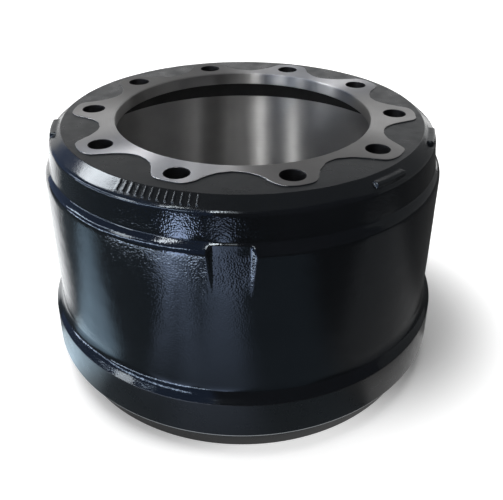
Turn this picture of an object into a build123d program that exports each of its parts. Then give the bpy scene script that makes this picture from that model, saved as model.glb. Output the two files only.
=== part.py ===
from build123d import *
from math import atan2, degrees, hypot, isclose, radians, tan
import os

# Brake drum for a ten-stud truck or trailer axle: one iron casting, machined on the raised pad
# of the hub flange, in the pilot bore and bolt holes, on the friction surface and on the band.
# Millimetres, +Z up. The origin is the centre of the open end, which the drum stands on, and
# the hub flange is on top. Azimuths are counted in degrees from the front (-Y) towards +X.

drum_height = 288.0

# Hub flange: pilot bore, bolt circle and cast face. Each offset is measured along the radius,
# so a larger pilot bore makes a larger drum.
flange_thickness = 14.0
pad_rise = 1.0
pilot_diameter = 281.0
bolt_circle_offset = 27.0  # from the wall of the pilot bore out to the 335 mm bolt circle
bolt_count = 10
bolt_hole_diameter = 24.0
face_margin = 8.5  # of cast face outside the lobes
face_edge_radius = 1.5
bore_chamfer = 1.2
hole_chamfer = 0.6

# Raised machined pad: a ring round the pilot bore with a lobe round each bolt hole, left
# between the scallops that lie midway between the holes
scallop_inset = 14.0  # from the bolt circle in to the tip of a scallop
scallop_tip_half_width = 16.0
scallop_tip_depth = 4.6
scallop_mouth_half_width = 46.5
scallop_mouth_depth = 38.0
lobe_reach = 21.0  # from the bolt circle out to the end of a lobe
lobe_corner_radius = 7.0

# Inside: the cast hat, the step under it and the machined friction surface
hat_wall = 10.0
hat_depth = 35.7  # from the underside of the flange down to the step
hat_inner_radius = 10.0
friction_step_width = 9.8  # out to the 420 mm friction surface
friction_step_height = 3.3
mouth_chamfer = 2.5

# Outside of the head, from the flange face down
shoulder_width = 13.2
shoulder_drop = 11.3  # from the top of the drum
shoulder_radius = 7.0
hat_height = 27.2
hat_draft = 4.0  # growth of the hat's radius from the shoulder to its foot
hat_foot_radius = 3.0
step_height = 6.5

# Outside of the braking part, from the open end up; a wall is measured from the friction
# surface
lip_height = 30.5
lip_wall = 12.5
lip_fillet = 4.0
lip_chamfer = 1.0
band_height = 43.3
band_wall = 27.3
band_draft = 2.0
band_chamfer = 1.2
flare_height = 10.5
flare_foot_radius = 18.0
barrel_head_wall = 10.1
barrel_foot_wall = 16.2
barrel_head_radius = 15.0

# Cast pads that square off the shoulder: (azimuth, width)
shoulder_pads = ((-78.0, 40.0), (43.0, 40.0), (76.0, 40.0))
shoulder_pad_drop = 4.0  # from the top of the drum
shoulder_pad_foot = 3.7  # how far a pad is rooted below the shoulder
shoulder_pad_inset = 1.7  # from the hat's radius in to the outer face of a pad
shoulder_pad_corner = 3.0
shoulder_pad_root = 20.0  # how far a pad is rooted in the casting, along the radius

# Row of plain raised bars on the shoulder
bar_count = 12
first_bar_azimuth = -30.0
bar_pitch = 2.0
bar_width = 2.2
bar_length = 10.5
bar_rise = 0.8
bar_root = 1.5  # how deep a bar is rooted in the casting
bar_margin = 1.5  # left bare between the flange face and a bar

# Tilted flat recess at the head of the barrel, between two bolt holes
recess_floor_width = 35.0
recess_rise = 4.5  # from the head of the barrel up to the head of the recess
recess_inset = 4.9  # from the head of the barrel in to the head of the floor
recess_length = 46.0
recess_tilt = 7.4  # the floor runs outwards as it goes down
recess_wall_angle = 36.0  # of the side walls, from the floor
recess_cut = 8.0  # how far the cut reaches out from the floor

# Worked out from the sizes above: radii, then heights
pilot_radius = pilot_diameter / 2
bolt_circle_radius = pilot_radius + bolt_circle_offset
scallop_tip_radius = bolt_circle_radius - scallop_inset
lobe_radius = bolt_circle_radius + lobe_reach
face_radius = lobe_radius + face_margin
hat_radius = face_radius + shoulder_width
hat_foot_outer_radius = hat_radius + hat_draft
pad_outer_radius = hat_radius - shoulder_pad_inset
hat_bore_radius = hat_radius - hat_wall
friction_radius = hat_bore_radius + friction_step_width
barrel_head_outer_radius = friction_radius + barrel_head_wall
barrel_foot_outer_radius = friction_radius + barrel_foot_wall
band_radius = friction_radius + band_wall
lip_radius = friction_radius + lip_wall

cast_face_z = drum_height - pad_rise
underside_z = drum_height - flange_thickness
shoulder_z = drum_height - shoulder_drop
hat_foot_z = shoulder_z - hat_height
barrel_head_z = hat_foot_z - step_height
step_head_z = underside_z - hat_depth
friction_top_z = step_head_z - friction_step_height
band_top_z = lip_height + band_height
barrel_foot_z = band_top_z + flare_height

slope_angle = degrees(atan2(cast_face_z - shoulder_z, shoulder_width))
recess_head = Plane(
    origin=(0, recess_inset - barrel_head_outer_radius, barrel_head_z + recess_rise),
    x_dir=(1, 0, 0),
    z_dir=Vector(0, 0, -1).rotate(Axis.X, -recess_tilt),
)
front_angle = -90  # of azimuth 0, counted from +X as build123d does
hole_start_angle = front_angle + 180 / bolt_count


def corner(sketch, x, y):
    """The corner of a sketch that is nearest to a point of its own plane."""
    return sketch.vertices().sort_by_distance((x, y, 0))[0]


def on_radius(vertices, radius):
    """Those vertices of a flange sketch that lie at a radius from the axis."""
    return vertices.filter_by(lambda vertex: isclose(hypot(vertex.X, vertex.Y), radius))


def radial_plane(azimuth):
    """The plane through the axis at an azimuth, with x outwards and y up."""
    outward = Vector(0, -1, 0).rotate(Axis.Z, azimuth)
    return Plane(origin=(0, 0, 0), x_dir=outward, z_dir=outward.cross(Vector(0, 0, 1)))


with BuildSketch() as scallop:
    # Drawn with its tip at the origin and its mouth towards +X
    with BuildLine():
        tip = ThreePointArc(
            (scallop_tip_depth, -scallop_tip_half_width),
            (0, 0),
            (scallop_tip_depth, scallop_tip_half_width),
        )
        mouth_left = (scallop_mouth_depth, -scallop_mouth_half_width)
        mouth_right = (scallop_mouth_depth, scallop_mouth_half_width)
        TangentArc(tip @ 0, mouth_left, tangent=tip % 0 * -1)
        TangentArc(tip @ 1, mouth_right, tangent=tip % 1)
        outer_side = scallop_mouth_depth + lobe_reach
        Polyline(
            mouth_left,
            (outer_side, -scallop_mouth_half_width),
            (outer_side, scallop_mouth_half_width),
            mouth_right,
        )
    make_face()

with BuildPart() as brake_drum:
    # The casting is one turned section
    with BuildSketch(Plane.XZ) as section:
        with BuildLine():
            Polyline(
                (pilot_radius, cast_face_z),
                (face_radius, cast_face_z),
                (hat_radius, shoulder_z),
                (hat_foot_outer_radius, hat_foot_z),
                (barrel_head_outer_radius, barrel_head_z),
                (barrel_foot_outer_radius, barrel_foot_z),
                (band_radius - band_draft, band_top_z),
                (band_radius, lip_height),
                (lip_radius, lip_height),
                (lip_radius, 0),
                (friction_radius, 0),
                (friction_radius, friction_top_z),
                (hat_bore_radius, step_head_z),
                (hat_bore_radius, underside_z),
                (pilot_radius, underside_z),
                close=True,
            )
        make_face()
        fillet(corner(section, face_radius, cast_face_z), face_edge_radius)
        fillet(corner(section, hat_radius, shoulder_z), shoulder_radius)
        fillet(corner(section, hat_foot_outer_radius, hat_foot_z), hat_foot_radius)
        fillet(corner(section, barrel_head_outer_radius, barrel_head_z), barrel_head_radius)
        fillet(corner(section, barrel_foot_outer_radius, barrel_foot_z), flare_foot_radius)
        chamfer(corner(section, band_radius, lip_height), band_chamfer)
        fillet(corner(section, lip_radius, lip_height), lip_fillet)
        chamfer(corner(section, lip_radius, 0), lip_chamfer)
        chamfer(corner(section, friction_radius, 0), mouth_chamfer)
        fillet(corner(section, hat_bore_radius, underside_z), hat_inner_radius)
    revolve(axis=Axis.Z)

    # Cast pads on the shoulder
    with BuildSketch(Plane.XY.offset(drum_height - shoulder_pad_drop)) as pads:
        for azimuth, width in shoulder_pads:
            with PolarLocations(pad_outer_radius, 1, start_angle=front_angle + azimuth):
                Rectangle(shoulder_pad_root * 2, width)
        Circle(pad_outer_radius, mode=Mode.INTERSECT)
        fillet(on_radius(pads.vertices(), pad_outer_radius), shoulder_pad_corner)
    extrude(amount=-(shoulder_drop + shoulder_pad_foot - shoulder_pad_drop))

    # Row of plain bars along the slope of the shoulder
    slope_head = Location((face_radius, cast_face_z, 0), (0, 0, -slope_angle))
    for index in range(bar_count):
        with BuildSketch(radial_plane(first_bar_azimuth + index * bar_pitch)):
            with Locations(slope_head), Locations((bar_margin, -bar_root)):
                Rectangle(bar_length, bar_root + bar_rise, align=Align.MIN)
        extrude(amount=bar_width / 2, both=True)

    # Raised machined pad
    with BuildSketch(Plane.XY.offset(cast_face_z)) as machined_pad:
        Circle(lobe_radius)
        with PolarLocations(scallop_tip_radius, bolt_count, start_angle=front_angle):
            add(scallop.sketch, mode=Mode.SUBTRACT)
        fillet(on_radius(machined_pad.vertices(), lobe_radius), lobe_corner_radius)
        Circle(pilot_radius, mode=Mode.SUBTRACT)
    extrude(amount=pad_rise)

    # Bolt holes
    with BuildSketch(Plane.XY.offset(drum_height)):
        with PolarLocations(bolt_circle_radius, bolt_count, start_angle=hole_start_angle):
            Circle(bolt_hole_diameter / 2)
    extrude(amount=-flange_thickness, mode=Mode.SUBTRACT)

    # Recess at the head of the barrel, cut along its tilted floor
    with BuildSketch(recess_head):
        floor_side = recess_floor_width / 2
        cut_side = floor_side + recess_cut / tan(radians(recess_wall_angle))
        Polygon(
            (-floor_side, 0),
            (floor_side, 0),
            (cut_side, recess_cut),
            (-cut_side, recess_cut),
            align=None,
        )
    extrude(amount=recess_length, mode=Mode.SUBTRACT)

    # Mouths of the pilot bore and the bolt holes
    mouths = brake_drum.faces().sort_by(Axis.Z)[-1].inner_wires().edges()
    bore_mouth = mouths.group_by(SortBy.RADIUS)[-1]
    chamfer(bore_mouth, bore_chamfer)
    chamfer(mouths - bore_mouth, hole_chamfer)

brake_drum.part.label = "brake_drum"
os.makedirs("parts", exist_ok=True)
export_step(brake_drum.part, "parts/brake_drum.step")
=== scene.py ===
import math

import bmesh
import bpy
import numpy as np
from mathutils import Matrix, Vector, noise


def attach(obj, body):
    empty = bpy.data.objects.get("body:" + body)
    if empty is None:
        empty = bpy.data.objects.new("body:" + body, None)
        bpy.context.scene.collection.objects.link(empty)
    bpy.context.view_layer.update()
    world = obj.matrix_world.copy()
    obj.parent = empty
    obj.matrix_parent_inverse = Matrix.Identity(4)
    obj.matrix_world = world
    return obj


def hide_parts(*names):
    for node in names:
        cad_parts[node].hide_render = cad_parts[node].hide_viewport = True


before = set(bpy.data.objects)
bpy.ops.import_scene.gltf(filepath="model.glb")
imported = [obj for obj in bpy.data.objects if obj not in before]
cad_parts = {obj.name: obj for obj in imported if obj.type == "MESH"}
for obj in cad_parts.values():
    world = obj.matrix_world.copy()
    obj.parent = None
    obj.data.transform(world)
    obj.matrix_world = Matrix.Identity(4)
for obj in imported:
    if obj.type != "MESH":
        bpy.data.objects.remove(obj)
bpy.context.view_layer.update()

# The drum as it looks: one closed casting with uneven cast skin, soft cast edges and machined
# surfaces. Sizes are in millimetres and repeat those of the CAD solid, in the same frame.
# Azimuths are counted in degrees from the front (-Y) towards +X.
MM = 0.001

PAD_Z = 288.0
FACE_Z = 287.0
UNDERSIDE_Z = 274.0
PILOT_R = 140.5
BOLTS = 10
PITCH = 360.0 / BOLTS
BOLT_CIRCLE_R = 167.5
BOLT_HOLE_R = 12.0
FACE_R = 197.0
HAT_R, HAT_Z = 210.2, 276.7
FRICTION_R = 210.0

# Surfaces, which are also the material slots in this order
CAST, BAND, PAD, BORE, INSIDE, HOLE, EDGE, BRAKE, FLANGE = range(9)

# Corners of the section, from the flange face down the outside, round the open end and up the
# inside to the underside of the flange: radius, height, rounding, then the spacing and the
# surface of the run after the corner
SECTION = [
    (194.0, FACE_Z, 0, 1.5, FLANGE),
    (FACE_R, FACE_Z, 1.5, 0.8, CAST),
    (HAT_R, HAT_Z, 7.0, 2.6, CAST),
    (214.2, 249.5, 3.0, 1.3, CAST),
    (220.1, 243.0, 15.0, 2.6, CAST),
    (226.2, 84.3, 18.0, 1.2, CAST),
    (235.3, 73.8, 1.6, 6.0, BAND),
    (237.2, 33.0, 0.3, 1.0, EDGE),
    (236.6, 31.4, 0.3, 1.0, EDGE),
    (235.7, 30.5, 0.3, 3.0, BAND),
    (222.5, 30.5, 4.0, 8.0, BAND),
    (222.5, 1.0, 0.4, 1.0, BAND),
    (221.5, 0.0, 0.4, 4.0, EDGE),
    (212.5, 0.0, 0.4, 1.5, EDGE),
    (FRICTION_R, 2.5, 0.4, 14.0, BRAKE),
    (FRICTION_R, 235.0, 0.6, 2.5, INSIDE),
    (200.2, 238.3, 0.8, 5.0, INSIDE),
    (200.2, UNDERSIDE_Z, 10.0, 5.0, INSIDE),
    (186.0, UNDERSIDE_Z, 0, 5.0, INSIDE),
]

# Shoulder pads as (azimuth, width), the row of plain bars and the recess, as in the CAD solid
SHOULDER_PADS = ((-78.0, 40.0), (43.0, 40.0), (76.0, 40.0))
SHOULDER_PAD_Z, SHOULDER_PAD_R = 284.0, 208.5
BARS = [-30.0 + 2.0 * k for k in range(12)]
BAR_WIDTH, BAR_RISE = 2.2, 0.8
BAR_START, BAR_END = 1.5, 12.0  # down the slope from the flange face's corner
RECESS_HEAD_Z, RECESS_DEPTH_R, RECESS_HALF = 247.5, 215.2, 17.5
RECESS_TILT, RECESS_WALL = math.tan(math.radians(7.4)), math.tan(math.radians(36.0))
RECESS_REACH = 12.0  # degrees to either side of the front that the recess can cut

# The slope between flange face and hat: its length, and the height of its foot
SLOPE_LENGTH, SLOPE_FOOT_Z = 14.0, 277.0
SHOULDER_FOOT_Z = 270.0
# The rows that the recess cuts, and those of them that need its extra azimuths
RECESS_TOP_Z = RECESS_HEAD_Z + 3
RECESS_FOOT_Z, RECESS_DETAIL_Z = 150.0, 196.0

# Degrees of azimuth to a millimetre round the shoulder and round the barrel
SHOULDER_MM, BARREL_MM = math.degrees(1 / 204), math.degrees(1 / 220)
BASE_STEP = 1.5  # degrees between the evenly spaced azimuths
SAME_AZIMUTH = 0.12


def rounded(corners, arc_step=12.0):
    """Rows (r, z, surface) along a section whose corners are (r, z, rounding, spacing, surface).
    Spacing and surface are those of the run after the corner; the rounding goes with it too."""
    rows = []
    points = [np.array(c[:2], float) for c in corners]
    ends = []
    for i, corner in enumerate(corners):
        here, radius = points[i], corner[2]
        if radius and 0 < i < len(corners) - 1:
            a = points[i - 1] - here
            b = points[i + 1] - here
            a, b = a / np.linalg.norm(a), b / np.linalg.norm(b)
            turn = math.pi - math.acos(np.clip(a @ b, -1, 1))
            reach = radius * math.tan(turn / 2)
            centre = here + (a + b) / np.linalg.norm(a + b) * radius / math.cos(turn / 2)
            count = max(2, math.ceil(math.degrees(turn) / arc_step))
            start, end = here + a * reach - centre, here + b * reach - centre
            shares = np.linspace(0, 1, count + 1)
            arc = [
                centre
                + (start * math.sin(turn * (1 - t)) + end * math.sin(turn * t)) / math.sin(turn)
                for t in shares
            ]
        else:
            arc = [here]
        ends.append(arc)
    for i, corner in enumerate(corners):
        spacing, surface = corner[3], corner[4]
        rows += [(*p, surface) for p in ends[i]]
        if i + 1 < len(corners):
            a, b = ends[i][-1], ends[i + 1][0]
            count = max(1, round(np.linalg.norm(b - a) / spacing))
            rows += [(*(a + (b - a) * k / count), surface) for k in range(1, count)]
    return rows


def softmin(a, b, width):
    """The smaller of two numbers, rounded over where they are within a width of each other."""
    h = np.maximum(width - np.abs(a - b), 0) / width
    return np.minimum(a, b) - h * h * width / 4


def smoothstep(x):
    x = np.clip(x, 0, 1)
    return x * x * (3 - 2 * x)


def azimuths(base_step, extra):
    """Azimuths of a row: evenly spaced ones, with others where detail needs them."""
    base = np.arange(-180, 180, base_step)
    extra = np.array(sorted(set(np.round(extra, 3))))
    keep = [a for a in base if not len(extra) or np.min(np.abs(extra - a)) > SAME_AZIMUTH]
    return np.array(sorted([*keep, *extra]))


def skin(point, scale, seed):
    """A smooth unevenness of about 1 with waves of a scale in millimetres."""
    return noise.noise(Vector((point[0] / scale + seed, point[1] / scale, point[2] / scale)))


# Extra azimuths across the sides of the shoulder pads, the bars and the walls of the recess
pad_azimuths = [
    at + side * (width / 2 + d) * SHOULDER_MM
    for at, width in SHOULDER_PADS
    for side in (-1, 1)
    for d in (-2.4, -1.6, -1.0, -0.6, -0.2, 0.2, 0.6, 1.2)
]
bar_azimuths = [
    at + d * SHOULDER_MM for at in BARS for d in (-1.6, -1.2, -0.9, -0.5, 0, 0.5, 0.9, 1.2, 1.6)
]
recess_azimuths = [
    side * d * BARREL_MM for side in (-1, 1) for d in (0, 5, 10, 14, *np.arange(15.5, 28.1, 0.6))
]


class Shell:
    """The drum's vertices and faces, as they are added."""

    def __init__(self):
        self.points, self.faces, self.surfaces = [], [], []

    def add(self, points):
        first = len(self.points)
        self.points += [tuple(p) for p in points]
        return list(range(first, len(self.points)))

    def face(self, indices, surface):
        self.faces.append(tuple(indices))
        self.surfaces.append(surface)

    def join(self, a, a_at, b, b_at, surface):
        """Faces between two closed rings whose azimuths coincide, but for extra ones in either."""
        a_set = {round(x, 3): i for i, x in enumerate(a_at)}
        b_set = {round(x, 3): i for i, x in enumerate(b_at)}
        common = sorted(set(a_set) & set(b_set))
        for k, start in enumerate(common):
            end = common[(k + 1) % len(common)]
            run_a = self.run(a, a_set[start], a_set[end])
            run_b = self.run(b, b_set[start], b_set[end])
            self.face(run_a + run_b[::-1], surface)

    @staticmethod
    def run(ring, start, end):
        out = [ring[start]]
        i = start
        while i != end:
            i = (i + 1) % len(ring)
            out.append(ring[i])
        return out

    def strip(self, upper, lower, surface):
        """Four-sided faces between two closed loops of as many points."""
        for i in range(len(upper)):
            j = (i + 1) % len(upper)
            self.face((upper[i], upper[j], lower[j], lower[i]), surface)


shell = Shell()


def on_ring(r, z, az):
    a = np.radians(az)
    r, z = np.broadcast_to(r, a.shape), np.broadcast_to(z, a.shape)
    return np.column_stack([r * np.sin(a), -r * np.cos(a), z])


# Outside and inside of the casting, row by row from the flange face down and up again
rows = rounded(SECTION)
section = np.array([row[:2] for row in rows])
ridge_row = next(i for i, row in enumerate(rows) if row[2] == BAND)
slope_start = np.array([FACE_R, FACE_Z])
slope_dir = np.array([HAT_R - FACE_R, HAT_Z - FACE_Z])
slope_dir /= np.linalg.norm(slope_dir)
slope_out = np.array([-slope_dir[1], slope_dir[0]])

# The rows that a shoulder pad lifts, from where its top meets the slope to where its face
# meets the shoulder, and the line that it lifts them to
pad_rows = [
    i
    for i in range(ridge_row)
    if section[i][0] < SHOULDER_PAD_R and SHOULDER_FOOT_Z < section[i][1] < SHOULDER_PAD_Z
]
pad_head, pad_foot = section[pad_rows[0] - 1], section[pad_rows[-1] + 1]
pad_corners = [
    (*pad_head, 0, 1.0, CAST),
    (pad_head[0] + 0.4, SHOULDER_PAD_Z, 0.3, 1.0, CAST),
    (SHOULDER_PAD_R, SHOULDER_PAD_Z, 2.2, 1.0, CAST),
    (SHOULDER_PAD_R, pad_foot[1] + 0.3, 0.3, 1.0, CAST),
    (*pad_foot, 0, 1.0, CAST),
]
pad_line = np.array([row[:2] for row in rounded(pad_corners, 20.0)])


def shares_along(line):
    """Share of a polyline's length at each of its points."""
    steps = np.linalg.norm(np.diff(line, axis=0), axis=1)
    return np.concatenate([[0], np.cumsum(steps)]) / steps.sum()


def along(line, shares):
    """Points at shares of a polyline's length."""
    at = shares_along(line)
    return np.column_stack([np.interp(shares, at, line[:, k]) for k in (0, 1)])


lifted = range(pad_rows[0] - 1, pad_rows[-1] + 2)
pad_targets = dict(zip(lifted, along(pad_line, shares_along(section[lifted.start : lifted.stop]))))


def down_slope(r, z):
    """How far a place of the section lies down the slope from the flange face's corner."""
    return (np.array([r, z]) - slope_start) @ slope_dir


def with_bars(r, z, az, rr, zz):
    """A ring of the slope with the plain bars raised on it. Their ends run out over 0.7 mm and
    their sides over 0.6 mm."""
    s = down_slope(r, z)
    ends = smoothstep((s - BAR_START + 0.4) / 0.7) * smoothstep((BAR_END + 0.4 - s) / 0.7)
    lift = np.zeros(az.shape)
    for at in BARS:
        d = np.abs(az - at) / SHOULDER_MM
        lift = np.maximum(lift, smoothstep((BAR_WIDTH / 2 + 0.3 - d) / 0.6))
    rise = [out * lift * ends * BAR_RISE for out in slope_out]
    return rr + rise[0], zz + rise[1]


def with_pads(target, az, rr, zz):
    """A ring with the shoulder pads lifted to their own section; their sides run out over
    1.2 mm."""
    share = np.zeros(az.shape)
    for at, width in SHOULDER_PADS:
        d = np.abs(az - at) / SHOULDER_MM
        share = np.maximum(share, smoothstep((width / 2 + 0.4 - d) / 1.2))
    return rr * (1 - share) + target[0] * share, zz * (1 - share) + target[1] * share


def with_recess(z, az, rr):
    """A ring of the barrel with the flat, tilted recess cut in it at the front."""
    floor = RECESS_DEPTH_R + RECESS_TILT * (RECESS_HEAD_Z - z)
    a = np.radians(np.clip(az, -RECESS_REACH, RECESS_REACH))
    flat = floor / np.cos(a)
    wall = (floor - RECESS_HALF * RECESS_WALL) / (np.cos(a) - np.sin(np.abs(a)) * RECESS_WALL)
    cut = -softmin(-flat, -wall, 1.0)
    cut = softmin(rr, cut, 1.2)
    deep = smoothstep((RECESS_HEAD_Z + 0.6 - z) / 1.4)
    return np.where(np.abs(az) < RECESS_REACH, rr * (1 - deep) + cut * deep, rr)


# Millimetres that the cast skin waves in and out, on the head and barrel and on the band
WAVE_HEAD, WAVE_BAND = 0.32, 0.25


def with_skin(points, depth):
    """A ring with the slow waves of the cast skin: 32 and 13 mm long in and out, and 24 mm
    long up and down."""
    outward = points * (1, 1, 0) / np.linalg.norm(points[:, :2], axis=1)[:, None]
    shift = np.array([0.6 * skin(p, 32, 3.1) + 0.4 * skin(p, 13, 7.7) for p in points]) * depth
    up = np.array([skin(p, 24, 11.3) for p in points]) * depth
    return points + outward * shift[:, None] + np.outer(up, (0, 0, 1)) * 0.6


previous = None
for i, (r, z, surface) in enumerate(rows):
    on_slope = 0 < down_slope(r, z) < SLOPE_LENGTH and z > SLOPE_FOOT_Z and r < HAT_R
    on_outside = i < ridge_row
    extra = []
    if i in pad_rows:
        extra += pad_azimuths
    if on_slope:
        extra += bar_azimuths
    if on_outside and RECESS_DETAIL_Z < z < RECESS_TOP_Z:
        extra += recess_azimuths
    az = azimuths(BASE_STEP, extra)
    rr, zz = np.full(az.shape, r), np.full(az.shape, z)
    if on_slope:
        rr, zz = with_bars(r, z, az, rr, zz)
    if i in pad_targets:
        rr, zz = with_pads(pad_targets[i], az, rr, zz)
    if on_outside and RECESS_FOOT_Z < z < RECESS_TOP_Z:
        rr = with_recess(z, az, rr)
    points = on_ring(rr, zz, az)
    if 2 < i <= ridge_row + 1:
        points = with_skin(points, WAVE_HEAD if i < ridge_row - 3 else WAVE_BAND)
    ring = shell.add(points)
    if previous is None:
        top_ring = ring
    else:
        shell.join(previous[0], previous[1], ring, az, previous[2])
    previous = (ring, az, surface)
bottom_ring = ring

# Outline of the machined pad: an uneven edge where the cutter left the cast face. The lobes
# end at these radii, counted from azimuth -18 towards +X, and the tips of the scallops lie at
# those radii, counted from azimuth 0, so that each lies half a pitch past its lobe.
LOBE_ENDS = (184.0, 187.0, 190.5, 189.8, 190.5, 189.2, 189.5, 188.7, 188.7, 189.8)
SCALLOP_TIPS = (152.1, 152.4, 155.1, 155.1, 154.4, 152.7, 153.7, 155.1, 155.1, 152.5)
SCALLOP_SPREAD = 56.0  # a scallop is a parabola: half width squared is this times its depth
SCALLOP_STEP, SCALLOP_STEPS = 0.25, 161
LOBE_STEPS = 14
OUTLINE_STEP, OUTLINE_SOFT = 1.5, 5.0

# Edge of the pad as (outwards, up): metal over its rounded top, paint below
EDGE_SHAPE = ((0.0, 1.0), (0.3, 0.93), (0.55, 0.7), (0.8, 0.3), (1.1, 0.07), (1.5, 0.0))
EDGE_METAL = 2


def direction(angle):
    return np.array([math.sin(angle), -math.cos(angle)])


def scallop_side(out, side, tip, end):
    """One side of a scallop, from its tip outwards to the end of the lobe beside it."""
    points = []
    for k in range(SCALLOP_STEPS):
        s = SCALLOP_STEP * k
        x = math.sqrt(SCALLOP_SPREAD * s)
        if math.hypot(tip + s, x) > end:
            break
        points.append(out * (tip + s) + side * x)
    return points


def pad_outline():
    line = []
    for k in range(BOLTS):
        at = math.radians(PITCH * k)
        out, side = direction(at), np.array([math.cos(at), math.sin(at)])
        before, after = LOBE_ENDS[k], LOBE_ENDS[(k + 1) % BOLTS]
        left = scallop_side(out, -side, SCALLOP_TIPS[k], before)
        right = scallop_side(out, side, SCALLOP_TIPS[k], after)
        line += left[::-1] + right[1:]
        start = math.atan2(right[-1][0], -right[-1][1])
        lobe_mid = math.radians(PITCH * k + PITCH / 2)
        sweep = 2 * ((lobe_mid - start + math.pi) % (2 * math.pi) - math.pi)
        line += [
            direction(start + sweep * t) * after for t in np.linspace(0, 1, LOBE_STEPS)[1:-1]
        ]
    return np.array(line)


def resample(line, step):
    """A closed line's points, spread evenly about a step apart."""
    closed = np.vstack([line, line[:1]])
    length = np.concatenate([[0], np.cumsum(np.linalg.norm(np.diff(closed, axis=0), axis=1))])
    at = np.arange(0, length[-1], step * length[-1] / (step * round(length[-1] / step)))
    return np.column_stack([np.interp(at, length, closed[:, k]) for k in (0, 1)])


def smoothed(line, sigma):
    reach = int(3 * sigma)
    weights = np.exp(-0.5 * (np.arange(-reach, reach + 1) / sigma) ** 2)
    weights /= weights.sum()
    return sum(w * np.roll(line, k, axis=0) for k, w in zip(range(-reach, reach + 1), weights))


def outward_normals(line):
    along_it = np.roll(line, -1, axis=0) - np.roll(line, 1, axis=0)
    normal = np.column_stack([along_it[:, 1], -along_it[:, 0]])
    return normal / np.linalg.norm(normal, axis=1)[:, None]


outline = smoothed(resample(pad_outline(), OUTLINE_STEP), OUTLINE_SOFT)
wander = np.array(
    [0.8 * skin((*p, 0), 11, 2.2) + 0.3 * skin((*p, 0), 5, 5.5) for p in outline]
)
outline = outline + outward_normals(outline) * wander[:, None]
normals = outward_normals(outline)
edge_rings = [
    shell.add(np.column_stack([outline + normals * d, np.full(len(outline), FACE_Z + h)]))
    for d, h in EDGE_SHAPE
]
for k, (upper, lower) in enumerate(zip(edge_rings, edge_rings[1:])):
    shell.strip(lower, upper, PAD if k < EDGE_METAL else FLANGE)


def circle(centre, r, z, count):
    a = np.arange(count) * 2 * math.pi / count
    return np.column_stack([centre[0] + r * np.cos(a), centre[1] + r * np.sin(a), [z] * count])


def bore(centre, section, surfaces, count):
    """A round hole's wall, from section points (r, z) going down; gives its end loops."""
    rings = [shell.add(circle(centre, r, z, count)) for r, z in section]
    for upper, lower, surface in zip(rings, rings[1:], surfaces):
        shell.strip(upper, lower, surface)
    return rings[0], rings[-1]


# Bolt holes and pilot bore, with their chamfers
HOLE_SECTION = (
    (BOLT_HOLE_R + 0.7, PAD_Z),
    (BOLT_HOLE_R + 0.5, PAD_Z - 0.15),
    (BOLT_HOLE_R + 0.1, PAD_Z - 0.55),
    (BOLT_HOLE_R, PAD_Z - 0.8),
    (BOLT_HOLE_R, UNDERSIDE_Z + 0.5),
    (BOLT_HOLE_R + 0.15, UNDERSIDE_Z + 0.12),
    (BOLT_HOLE_R + 0.4, UNDERSIDE_Z),
)
BORE_SECTION = (
    (PILOT_R + 1.4, PAD_Z),
    (PILOT_R + 1.1, PAD_Z - 0.15),
    (PILOT_R + 0.3, PAD_Z - 0.95),
    (PILOT_R, PAD_Z - 1.35),
    (PILOT_R, PAD_Z - 5),
    (PILOT_R, UNDERSIDE_Z + 5),
    (PILOT_R, UNDERSIDE_Z + 1),
    (PILOT_R + 0.15, UNDERSIDE_Z + 0.35),
    (PILOT_R + 0.8, UNDERSIDE_Z),
)
pad_loops, underside_loops = [edge_rings[0]], []
for k in range(BOLTS):
    centre = BOLT_CIRCLE_R * direction(math.radians(PITCH * k + PITCH / 2))
    head, foot = bore(centre, HOLE_SECTION, [PAD] + [HOLE] * 5, 64)
    pad_loops.append(head)
    underside_loops.append(foot)
head, foot = bore((0, 0), BORE_SECTION, [PAD] * 2 + [BORE] * 6, 360)
pad_loops.append(head)
underside_loops.append(foot)

# The mesh, with the flat faces filled in between their loops
bm = bmesh.new()
verts = [bm.verts.new(Vector(p) * MM) for p in shell.points]
for indices, surface in zip(shell.faces, shell.surfaces):
    bm.faces.new([verts[i] for i in indices]).material_index = surface


def fill_between(loops, surface):
    """Flat faces between closed loops, the first or the last of which bounds the others."""
    edges = []
    for loop in loops:
        for a, b in zip(loop, loop[1:] + loop[:1]):
            edge = bm.edges.get((verts[a], verts[b])) or bm.edges.new((verts[a], verts[b]))
            edges.append(edge)
    made = bmesh.ops.triangle_fill(bm, edges=edges, use_beauty=True, use_dissolve=False)
    faces = [item for item in made["geom"] if isinstance(item, bmesh.types.BMFace)]
    for face in faces:
        face.material_index = surface
    return faces


flat_faces = fill_between(pad_loops, PAD)
flat_faces += fill_between([edge_rings[-1], top_ring], FLANGE)
flat_faces += fill_between([*underside_loops, bottom_ring], INSIDE)
bmesh.ops.recalc_face_normals(bm, faces=bm.faces)
for face in bm.faces:
    face.smooth = True
for face in flat_faces:
    face.smooth = False
open_edges = [edge for edge in bm.edges if not edge.is_manifold]
print("drum mesh:", len(bm.verts), "vertices,", len(bm.faces), "faces,", len(open_edges),
      "open edges,", round(bm.calc_volume() * 1e6, 1), "cm3")
mesh = bpy.data.meshes.new("drum_casting")
bm.to_mesh(mesh)
bm.free()
drum = bpy.data.objects.new("drum_casting", mesh)
bpy.context.scene.collection.objects.link(drum)
weighted = drum.modifiers.new("weighted", "WEIGHTED_NORMAL")
weighted.mode = "FACE_AREA"
weighted.weight = 90


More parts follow.
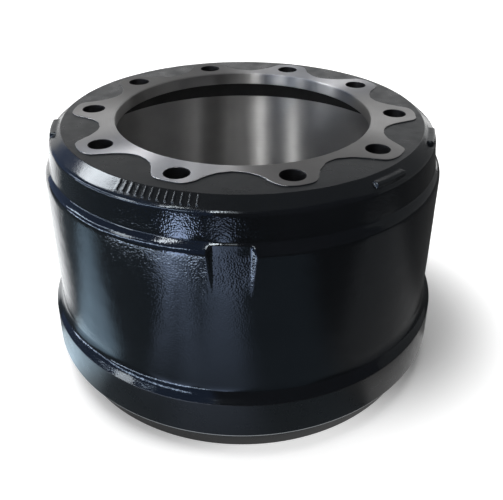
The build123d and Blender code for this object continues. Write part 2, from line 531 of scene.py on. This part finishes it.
# Materials
class Nodes:
    """A material's node tree, with short calls for its nodes."""

    def __init__(self, name):
        self.material = bpy.data.materials.new(name)
        self.material.use_nodes = True
        self.tree = self.material.node_tree
        self.shader = self.tree.nodes["Principled BSDF"]
        self.place = self.node("ShaderNodeTexCoord").outputs["Object"]

    def node(self, kind, **inputs):
        """A node whose inputs are given by name, or by number as i0, i1 and so on."""
        made = self.tree.nodes.new(kind)
        for key, value in inputs.items():
            self.put(made, key, value)
        return made

    def put(self, node, key, value):
        numbered = key[0] == "i" and key[1:].isdigit()
        socket = node.inputs[int(key[1:]) if numbered else key.replace("_", " ")]
        if isinstance(value, bpy.types.NodeSocket):
            self.tree.links.new(value, socket)
        else:
            socket.default_value = value

    def noise(self, scale, detail=2.0, rough=0.5, place=None):
        n = self.node("ShaderNodeTexNoise", Vector=place or self.place, Scale=scale,
                      Detail=detail, Roughness=rough)
        return n.outputs["Fac"]

    def cells(self, scale, smoothness):
        n = self.node("ShaderNodeTexVoronoi")
        n.feature = "SMOOTH_F1"
        self.put(n, "Vector", self.place)
        self.put(n, "Scale", scale)
        self.put(n, "Smoothness", smoothness)
        return n.outputs["Distance"]

    def math(self, operation, a, b=0.0):
        n = self.node("ShaderNodeMath", i0=a, i1=b)
        n.operation = operation
        return n.outputs[0]

    def blend(self, a, b, share):
        """Two heights added, the first at a share and the second at the rest."""
        return self.math("ADD", self.math("MULTIPLY", a, share), self.math("MULTIPLY", b, 1 - share))

    def vector_math(self, operation, a, b=(0, 0, 0)):
        n = self.node("ShaderNodeVectorMath", i0=a, i1=b)
        n.operation = operation
        return n.outputs

    def remap(self, value, low, high, to_low=0.0, to_high=1.0):
        n = self.node("ShaderNodeMapRange", i0=value, i1=low, i2=high, i3=to_low, i4=to_high)
        return n.outputs[0]

    def fade(self, value, inner, outer):
        """1 up to the inner bound, 0 from the outer one on, smooth in between."""
        n = self.node("ShaderNodeMapRange", i0=value, i1=inner, i2=outer, i3=1.0, i4=0.0)
        n.interpolation_type = "SMOOTHSTEP"
        return n.outputs[0]

    def measure(self, start, ahead):
        """How far a place lies past a start, along a direction."""
        away = self.vector_math("SUBTRACT", self.place, start)[0]
        return self.vector_math("DOT_PRODUCT", away, ahead)["Value"]

    def away_from(self, point):
        """How far a place lies from a point."""
        return self.vector_math("DISTANCE", self.place, point)["Value"]

    def mix(self, share, a, b, blend="MIX"):
        n = self.node("ShaderNodeMix")
        n.data_type, n.blend_type = "RGBA", blend
        self.put(n, "i0", share)
        self.put(n, "i6", a)
        self.put(n, "i7", b)
        return n.outputs[2]

    def bump(self, height, distance, strength=1.0, normal=None):
        n = self.node("ShaderNodeBump", Height=height, Distance=distance, Strength=strength)
        if normal is not None:
            self.put(n, "Normal", normal)
        return n.outputs["Normal"]

    def stretched(self, x, y, z):
        return self.vector_math("MULTIPLY", self.place, (x, y, z))[0]

    def radius(self):
        return self.vector_math("LENGTH", self.stretched(1, 1, 0))["Value"]

    def height(self):
        return self.node("ShaderNodeSeparateXYZ", Vector=self.place).outputs["Z"]

    def set(self, **sockets):
        for key, value in sockets.items():
            self.put(self.shader, key, value)
        return self.material


# Heights (low, high) at which the cast skin was left smoother: flare, step and slope
CALM_ZONES = ((0.066, 0.092), (0.240, 0.251), (0.275, 0.290))
CALM_SOFT, CALM_GRAIN = 0.004, 0.30
SLOPE_FADE = (0.274, 0.279)  # heights between which the paint grows as rough as the slope's
# Colours, darkest and lightest: paint on the cast skin, paint on the band, bare cast skin
PAINT_DARK, PAINT_LIGHT = (0.0026, 0.0031, 0.0042, 1), (0.0040, 0.0047, 0.0062, 1)
BAND_DARK, BAND_LIGHT = (0.0030, 0.0036, 0.0045, 1), (0.0048, 0.0056, 0.0066, 1)
CAST_DARK, CAST_LIGHT = (0.010, 0.010, 0.011, 1), (0.022, 0.021, 0.021, 1)
REFLECTION_TINT = (0.84, 0.93, 1.0, 1)
# Detail of the cast skin: noise scales, in waves to the metre, and the depth of its swell
PEBBLES, CELLS, SWELL = 660.0, 480.0, 80.0
SWELL_DEPTH = 0.0002


def cast_paint(name, grain, low, high, slope_rough=0.0, specular=0.5):
    """Glossy black paint over a sand-cast skin whose grain is so many metres deep. Its
    roughness lies between low and high, and is that much higher on the slope."""
    m = Nodes(name)
    z = m.height()
    calm = 0.0
    for start, end in CALM_ZONES:
        above, below = m.fade(z, start, start - CALM_SOFT), m.fade(z, end, end + CALM_SOFT)
        calm = m.math("MAXIMUM", calm, m.math("MULTIPLY", below, above))
    skin_height = m.blend(m.noise(PEBBLES, 0.0), m.cells(CELLS, 0.8), 0.8)
    normal = m.bump(skin_height, grain, m.remap(calm, 0, 1, 1, CALM_GRAIN))
    normal = m.bump(m.noise(SWELL, 2.0), SWELL_DEPTH, 0.4, normal)
    colour = m.mix(m.remap(m.noise(14.0, 3.0), 0.35, 0.65), PAINT_DARK, PAINT_LIGHT)
    rough = m.remap(m.noise(60.0, 3.0), 0.3, 0.7, low, high)
    rough = m.math("ADD", rough, m.remap(z, *SLOPE_FADE, 0.0, slope_rough))
    return m.set(Base_Color=colour, Roughness=rough, Specular_IOR_Level=specular,
                 Specular_Tint=REFLECTION_TINT, Normal=normal)


def band_paint():
    """Thinner paint over the turned band and lip, whose lines run round the drum."""
    m = Nodes("band_paint")
    lines = m.noise(900.0, 2.0, place=m.stretched(0.01, 0.01, 1.0))
    normal = m.bump(m.blend(lines, m.noise(500.0, 2.0), 0.7), 0.00008)
    colour = m.mix(m.noise(18.0, 3.0), BAND_DARK, BAND_LIGHT)
    rough = m.remap(m.noise(80.0, 2.0), 0.3, 0.7, 0.26, 0.32)
    return m.set(Base_Color=colour, Roughness=rough, Specular_IOR_Level=0.5, Normal=normal)


def turned(name, dark, light, rough_low, rough_high, anisotropy, spacing, across="radius"):
    """Bare turned iron: fine rings round the axis, a little uneven in tone. The rings are a
    spacing in metres apart, across the radius of a flat face or the height of a wall."""
    m = Nodes(name)
    distance = m.radius() if across == "radius" else m.height()
    rings = m.node("ShaderNodeCombineXYZ", X=distance)
    fine = m.noise(1.0 / spacing, 3.0, 0.6, place=rings.outputs[0])
    share = m.remap(m.blend(fine, m.noise(22.0, 3.0), 0.5), 0.35, 0.65)
    tangent = m.node("ShaderNodeTangent")
    tangent.direction_type = "RADIAL"
    tangent.axis = "Z"
    return m.set(Base_Color=m.mix(share, (*dark, 1), (*light, 1)), Metallic=1.0,
                 Roughness=m.remap(m.noise(45.0, 3.0), 0.3, 0.7, rough_low, rough_high),
                 Anisotropic=anisotropy, Anisotropic_Rotation=0.25, Tangent=tangent.outputs[0],
                 Normal=m.bump(fine, 0.00002))


def inside_iron():
    """The rough, dull skin of the casting's inside."""
    m = Nodes("inside_iron")
    colour = m.mix(m.noise(30.0, 3.0), CAST_DARK, CAST_LIGHT)
    return m.set(Base_Color=colour, Roughness=0.6, Specular_IOR_Level=0.25,
                 Normal=m.bump(m.noise(420.0, 3.0), 0.0004))


materials = [
    cast_paint("cast_paint", 0.00019, 0.07, 0.11, slope_rough=0.09),
    band_paint(),
    turned("turned_face", (0.40, 0.395, 0.395), (0.52, 0.515, 0.515), 0.46, 0.52, 0.95, 0.0007),
    turned("turned_bore", (0.27, 0.267, 0.264), (0.36, 0.356, 0.35), 0.32, 0.36, 1.0, 0.0006,
           across="height"),
    inside_iron(),
    # The bolt holes' walls are made near black, far darker than the other turned iron.
    turned("hole_wall", (0.02, 0.02, 0.022), (0.05, 0.05, 0.052), 0.4, 0.6, 0.0, 0.0008,
           across="height"),
    turned("turned_edge", (0.42, 0.42, 0.42), (0.6, 0.6, 0.6), 0.25, 0.35, 0.2, 0.0006),
    turned("turned_brake", (0.32, 0.316, 0.312), (0.42, 0.416, 0.41), 0.29, 0.33, 1.0, 0.0008,
           across="height"),
    cast_paint("flange_paint", 0.00010, 0.24, 0.40, specular=0.38),
]
for material in materials:
    mesh.materials.append(material)

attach(drum, "root")
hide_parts("brake_drum")

# Camera at the photograph's viewing angle. It stands at CAMERA_AT and looks along a yaw, pitch
# and roll in degrees, all of which the last angle then turns about the drum's axis.
FOCAL_PX, WIDTH_PX, SENSOR = 594.7, 503, 36.0
CAMERA_AT, CAMERA_ROUND = (0, -0.639, 0.5211), 2.80
YAW, PITCH_DOWN, ROLL = (math.radians(a) for a in (0.896, 33.206, -0.210))
turn = Matrix.Rotation(math.radians(CAMERA_ROUND), 3, "Z")
level = math.cos(PITCH_DOWN)
forward = Vector((math.sin(YAW) * level, math.cos(YAW) * level, -math.sin(PITCH_DOWN)))
right = Vector((math.cos(YAW), -math.sin(YAW), 0))
down = forward.cross(right)
across = right * math.cos(ROLL) + down * math.sin(ROLL)
below = down * math.cos(ROLL) - right * math.sin(ROLL)
basis = Matrix([turn @ across, turn @ -below, turn @ -forward]).transposed()
camera = bpy.data.objects.new("camera", bpy.data.cameras.new("camera"))
camera.data.sensor_width = SENSOR
camera.data.lens = FOCAL_PX * SENSOR / WIDTH_PX
camera.matrix_world = Matrix.Translation(turn @ Vector(CAMERA_AT)) @ basis.to_4x4()
bpy.context.scene.collection.objects.link(camera)
bpy.context.scene.camera = camera


def beside(azimuth, distance, height):
    """A place in metres, at an azimuth and a distance from the drum's axis."""
    a = math.radians(azimuth)
    return (distance * math.sin(a), -distance * math.cos(a), height)


def staged(name, points, faces, material):
    """An object of the studio, which isn't part of the drum."""
    made = bpy.data.meshes.new(name)
    made.from_pydata(points, [], faces)
    made.materials.append(material)
    obj = bpy.data.objects.new(name, made)
    bpy.context.scene.collection.objects.link(obj)
    return obj


FLOOR_HALF = 8.0
# Painted shadow on the floor, laid over the shadow that the lamps cast: where the floor's glow is
# held back round the drum, to its right and a little to its left: the middle as (azimuth, distance),
# how far the floor stays darker in full and at all, and by how much
PAINTED_FLOOR_SHADOWS = (((95, 0.16), 0.10, 0.235, 1.0), ((-36, 0.10), 0.12, 0.165, 0.6))
# The floor shines more far out, where the lamp's light grows weak
SHINE_NEAR, SHINE_FAR = (0.5, 0.6), (3.0, 1.0)


def floor_paint():
    """Pale floor that is white to the camera and to reflections, but for the drum's shadow, which
    the lamps cast and a painted shadow deepens where the floor's glow is held back.
    """
    m = Nodes("floor")
    rays = m.tree.nodes.new("ShaderNodeLightPath").outputs
    seen = m.math("MAXIMUM", rays["Is Glossy Ray"], rays["Is Transmission Ray"])
    seen = m.math("MAXIMUM", rays["Is Camera Ray"], seen)
    shine = m.remap(m.radius(), SHINE_NEAR[0], SHINE_FAR[0], SHINE_NEAR[1], SHINE_FAR[1])
    # Painted shadow: the floor's glow is dimmed round the drum's foot, where its shadow falls
    for middle, inner, outer, strength in PAINTED_FLOOR_SHADOWS:
        painted_shadow = m.fade(m.away_from(beside(*middle, 0)), inner, outer)
        lit = m.math("SUBTRACT", 1, m.math("MULTIPLY", painted_shadow, strength))
        shine = m.math("MULTIPLY", shine, lit)
    return m.set(Base_Color=(0.88, 0.88, 0.88, 1), Roughness=0.9, Specular_IOR_Level=0.1,
                 Emission_Color=(1, 1, 1, 1), Emission_Strength=m.math("MULTIPLY", seen, shine))


corner_signs = ((-1, -1), (1, -1), (1, 1), (-1, 1))
floor_corners = [(x * FLOOR_HALF, y * FLOOR_HALF, 0) for x, y in corner_signs]
staged("floor", floor_corners, [(0, 1, 2, 3)], floor_paint())


def card(name, points, faces, material):
    """A dull or glowing surface that only the drum's reflections show."""
    obj = staged(name, points, faces, material)
    obj.visible_camera = obj.visible_diffuse = obj.visible_transmission = False
    obj.visible_shadow = obj.visible_volume_scatter = False


def glow(m, colour, strength):
    """A black surface that gives off this light."""
    return m.set(Base_Color=(0, 0, 0, 1), Specular_IOR_Level=0.0, Emission_Color=colour,
                 Emission_Strength=strength)


def band(name, stations, colour):
    """A curved upright band through stations (azimuth, distance, low edge, high edge)."""
    at = np.linspace(0, len(stations) - 1, 6 * len(stations))
    azimuth, distance, low, high = (
        np.interp(at, range(len(stations)), [station[k] for station in stations]) for k in range(4)
    )
    points = [beside(*p) for p in zip(azimuth, distance, low)]
    points += [beside(*p) for p in zip(azimuth, distance, high)]
    steps = len(at) - 1
    faces = [(k, k + 1, steps + k + 2, steps + k + 1) for k in range(steps)]
    card(name, points, faces, glow(Nodes(name), (*colour, 1), 1.0))


def screen(name, start, end, distance, height, colour):
    """A band of one height that stands on the floor between two azimuths."""
    band(name, ((start, distance, 0, height), (end, distance, 0, height)), colour)


def ring_card(name, inner, outer, material):
    """A flat ring that lies just over the floor."""
    count = 96
    points = [beside(360 * k / count, r, CARD_LIFT) for r in (inner, outer) for k in range(count)]
    faces = [(k, (k + 1) % count, count + (k + 1) % count, count + k) for k in range(count)]
    card(name, points, faces, material)


# Fields of light on the two ring cards: colour, start and end as (azimuth, radius), brightness
# at either, width, and how far the edge fades
NEUTRAL, GLASS, TEAL, VIOLET = (1, 1, 1), (0.85, 1.03, 1.14), (0.70, 1.0, 1.26), (0.85, 1.0, 1.4)
TABLE_FIELDS = (
    (VIOLET, (-18, 0.30), (-24, 1.00), 0.0, 3.3, 0.02, 0.035),
    (VIOLET, (-29, 0.30), (-30, 1.00), 0.0, 3.3, 0.02, 0.035),
    (VIOLET, (-27, 0.74), (-29, 1.25), 5.0, 9.0, 0.11, 0.05),
    (VIOLET, (-27, 0.60), (-37, 0.66), 2.0, 2.0, 0.06, 0.03),
    (VIOLET, (-6, 0.30), (-7, 1.20), 0.2, 2.6, 0.05, 0.08),
    (TEAL, (-58, 0.29), (-80, 0.63), 1.0, 0.8, 0.07, 0.05),
    (GLASS, (-51, 0.277), (-75, 0.269), 0.5, 1.4, 0.03, 0.03),
    (NEUTRAL, (-144, 0.25), (-132, 1.54), 1.3, 1.6, 0.50, 0.08),
    (NEUTRAL, (62, 0.30), (75, 0.95), 0.12, 0.12, 0.20, 0.10),
    (NEUTRAL, (46, 0.275), (78, 0.262), 0.4, 0.4, 0.03, 0.02),
    (TEAL, (-62, 0.0), (-62, 1.70), 0.10, 0.10, 1.60, 0.10),
)
INSIDE_FIELDS = (
    (NEUTRAL, (-66, 0.105), (-50, 0.205), 12.0, 12.0, 0.011, 0.006),
    (NEUTRAL, (-22, 0.090), (-15, 0.205), 11.0, 11.0, 0.010, 0.005),
    (NEUTRAL, (-11, 0.090), (-7, 0.205), 1.5, 1.5, 0.004, 0.004),
    (NEUTRAL, (9, 0.090), (7, 0.205), 3.0, 3.0, 0.006, 0.004),
    (NEUTRAL, (24, 0.090), (18, 0.205), 2.0, 2.0, 0.010, 0.006),
    (NEUTRAL, (70, 0.110), (52, 0.205), 1.5, 1.5, 0.020, 0.010),
)
FIELD_PEAK = 12.0
CARD_LIFT = 0.0005
FOOT_EDGE = (0.235, 0.262)  # between these radii the cards change from the inner to the outer grey


def grey(brightness):
    return (brightness, brightness, brightness, 1)


def board(name, inner, outer, fields):
    """Dark card, lighter up to the drum's foot, with the soft-edged fields of light on it."""
    m = Nodes(name)
    total = m.mix(m.remap(m.radius(), *FOOT_EDGE), grey(inner), grey(outer))
    for colour, start, end, start_level, end_level, width, soft in fields:
        a, b = Vector(beside(*start, 0)), Vector(beside(*end, 0))
        length = (b - a).length
        ahead = (b - a) / length
        run = m.measure(a, ahead)
        off = m.math("ABSOLUTE", m.measure(a, (-ahead.y, ahead.x, 0)))
        level = m.remap(run, 0, length, start_level / FIELD_PEAK, end_level / FIELD_PEAK)
        sides = (off, width / 2, width / 2 + soft)
        for bound in (sides, (run, length, length + soft), (run, 0, -soft)):
            level = m.math("MULTIPLY", level, m.fade(*bound))
        total = m.mix(1.0, total, m.mix(level, (0, 0, 0, 1), (*colour, 1)), "ADD")
    return glow(m, total, FIELD_PEAK)


# Cards: boards under and round the drum, and screens that stand further off
ring_card("card_table", 0.232, 1.7, board("card_table", 0.03, 0.005, TABLE_FIELDS))
ring_card("card_inside", 0.001, 0.208, board("card_inside", 0.007, 0.007, INSIDE_FIELDS))
screen("card_front", -12, 75, 1.7, 2.4, (0.10, 0.10, 0.11))
screen("card_right", 75, 135, 1.7, 1.2, (0.22, 0.22, 0.22))
screen("card_left", -125, -12, 1.7, 2.0, (0.18, 0.25, 0.43))
# Long lamps, seen as thin lines along the steps of the drum
band("line_low", ((-61, 0.71, 0.0, 0.024), (-12, 0.71, 0.0, 0.024)), (11.0, 12.5, 15.0))
band("line_high", ((-95, 1.5, 0.06, 0.10), (-69, 1.5, 0.09, 0.13), (-61, 1.5, 0.23, 0.29),
                   (-45, 1.5, 0.39, 0.46), (-24, 1.5, 0.57, 0.65)), (9.5, 11.0, 13.5))
band("line_side", ((-97, 1.5, 0.26, 0.34), (-90, 1.5, 0.39, 0.48), (-78, 1.5, 0.49, 0.57),
                   (-67, 1.5, 0.61, 0.67), (-56, 1.5, 0.70, 0.74), (-44, 1.5, 0.79, 0.81)),
     (8.0, 9.0, 10.5))

# World: bright at the horizon, dimmer overhead, as (height on the sky, brightness)
SKY = ((0.15, 1.0), (0.33, 0.9), (0.42, 0.28), (0.62, 0.2))
world = bpy.data.worlds.new("studio")
bpy.context.scene.world = world
world.use_nodes = True
tree = world.node_tree
coords = tree.nodes.new("ShaderNodeTexCoord")
split = tree.nodes.new("ShaderNodeSeparateXYZ")
sky = tree.nodes.new("ShaderNodeValToRGB")
tree.links.new(coords.outputs["Generated"], split.inputs[0])
tree.links.new(split.outputs["Z"], sky.inputs[0])
tree.links.new(sky.outputs[0], tree.nodes["Background"].inputs["Color"])
for k, (height, brightness) in enumerate(SKY):
    stop = sky.color_ramp.elements[k] if k < 2 else sky.color_ramp.elements.new(height)
    stop.position, stop.color = height, grey(brightness)


def lamp(name, where, aim, size, radiance):
    """A rectangular lamp with its length level; radiance 1 is as bright as white paper."""
    data = bpy.data.lights.new(name, "AREA")
    data.shape = "RECTANGLE"
    data.size, data.size_y = size
    data.energy = radiance * math.pi * size[0] * size[1]
    obj = bpy.data.objects.new(name, data)
    facing = (Vector(aim) - Vector(where)).to_track_quat("-Z", "Y").to_matrix().to_4x4()
    obj.matrix_world = Matrix.Translation(where) @ facing
    obj.visible_camera = False
    bpy.context.scene.collection.objects.link(obj)
    return obj


# The fill lights the drum and the floor; the others are only seen in reflections
fill = lamp("fill", (-0.6, 0.15, 3.5), (-0.2, 0.0, 0), (2.4, 2.4), 4.1)
fill.visible_glossy = False
key = lamp("key", beside(-99, 1.38, 1.32), (0, 0, 0.26), (0.46, 0.55), 15)
key.visible_diffuse = False
# Upright strips as (azimuth, low end, high end, width, radiance)
STRIP_DISTANCE = 1.1
STRIPS = (
    (-57.5, 0.36, 0.60, 0.18, 7),
    (-39, 0.75, 1.60, 0.08, 20),
    (-11.5, 0.75, 1.50, 0.08, 25),
    (-3, 0.75, 1.40, 0.10, 3),
)
for azimuth, low, high, width, radiance in STRIPS:
    middle = (low + high) / 2
    strip = lamp("strip", beside(azimuth, STRIP_DISTANCE, middle), beside(azimuth, 0, middle),
                 (width, high - low), radiance)
    strip.visible_diffuse = False

bpy.context.scene.view_settings.view_transform = "Standard"
